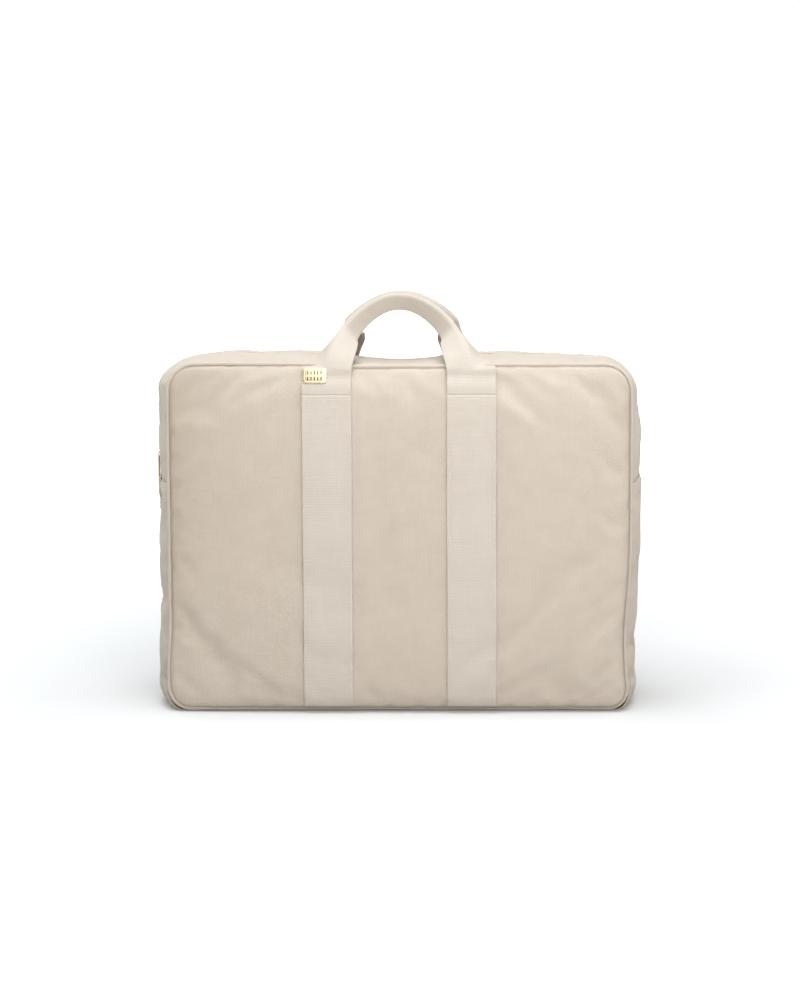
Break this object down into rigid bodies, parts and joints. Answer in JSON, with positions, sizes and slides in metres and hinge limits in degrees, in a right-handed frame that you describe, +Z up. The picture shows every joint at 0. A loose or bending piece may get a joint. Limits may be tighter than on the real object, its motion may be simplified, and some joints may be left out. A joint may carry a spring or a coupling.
{
  "type": "laptop bag",
  "caption": "Soft padded canvas laptop bag with piped front and back panels, a gusset opened by a zip, and two webbing handles running down both faces.",
  "frame": {"origin": "middle of the base's underside", "axes": "+X along the bag's width, to the right as seen from the front; +Y from the front panel to the back panel; +Z up"},
  "size_m": [0.4014, 0.1001, 0.3445],
  "materials": {
    "canvas": "cream cotton canvas",
    "piping": "cream canvas over cord",
    "webbing": "cream cotton webbing",
    "lining": "plain woven lining",
    "foam": "closed-cell foam padding",
    "board": "plain stiffening board",
    "zip_tape": "woven zip tape",
    "zip_teeth": "nylon coil",
    "gold_metal": "polished pale gold plate"
  },
  "bodies": {
    "case": {"base_panel": "canvas", "base_foam": "foam", "base_board": "board", "base_lining": "lining", "side_gusset_left": "canvas", "side_gusset_right": "canvas", "side_lining_left": "lining", "side_lining_right": "lining", "front_panel_lower": "canvas", "back_panel_lower": "canvas", "front_foam_lower": "foam", "back_foam_lower": "foam", "front_lining_lower": "lining", "back_lining_lower": "lining", "front_piping_lower": "piping", "back_piping_lower": "piping", "front_strap_left_lower": "webbing", "front_strap_right_lower": "webbing", "back_strap_left_lower": "webbing", "back_strap_right_lower": "webbing", "zip_end_tab_left": "canvas", "zip_end_tab_right": "canvas", "laptop_divider": "lining", "divider_binding": "canvas"},
    "front_top": {"front_panel_upper": "canvas", "front_foam_upper": "foam", "front_lining_upper": "lining", "front_piping_upper": "piping", "front_strap_left_upper": "webbing", "front_strap_right_upper": "webbing", "front_zip_gusset": "canvas", "front_zip_lining": "lining", "front_zip_tape": "zip_tape", "front_zip_teeth": "zip_teeth"},
    "back_top": {"back_panel_upper": "canvas", "back_foam_upper": "foam", "back_lining_upper": "lining", "back_piping_upper": "piping", "back_strap_left_upper": "webbing", "back_strap_right_upper": "webbing", "back_zip_gusset": "canvas", "back_zip_lining": "lining", "back_zip_tape": "zip_tape", "back_zip_teeth": "zip_teeth"},
    "front_handle": {"front_handle": "webbing", "metal_tag": "gold_metal"},
    "back_handle": {"back_handle": "webbing"},
    "zip_slider": {"zip_slider": "gold_metal"},
    "zip_puller": {"zip_puller": "gold_metal"}
  },
  "joints": [
    {"name": "front_opening", "type": "hinge", "parent": "case", "child": "front_top", "pos_m": [0, -0.0496, 0.19015], "axis": [1, 0, 0], "range_deg": [0, 25]},
    {"name": "back_opening", "type": "hinge", "parent": "case", "child": "back_top", "pos_m": [0, 0.0496, 0.19015], "axis": [-1, 0, 0], "range_deg": [0, 25]},
    {"name": "front_handle_swing", "type": "hinge", "parent": "front_top", "child": "front_handle", "pos_m": [0, -0.0496, 0.26385], "axis": [1, 0, 0], "range_deg": [0, 150]},
    {"name": "back_handle_swing", "type": "hinge", "parent": "back_top", "child": "back_handle", "pos_m": [0, 0.0496, 0.26385], "axis": [-1, 0, 0], "range_deg": [0, 150]},
    {"name": "zip_slide", "type": "slide", "parent": "case", "child": "zip_slider", "axis": [0, 0, 1], "range_m": [0, 0.045]},
    {"name": "puller_swing", "type": "hinge", "parent": "zip_slider", "child": "zip_puller", "pos_m": [-0.2012, 0, 0.2055], "axis": [0, 1, 0], "range_deg": [0, 165]}
  ]
}
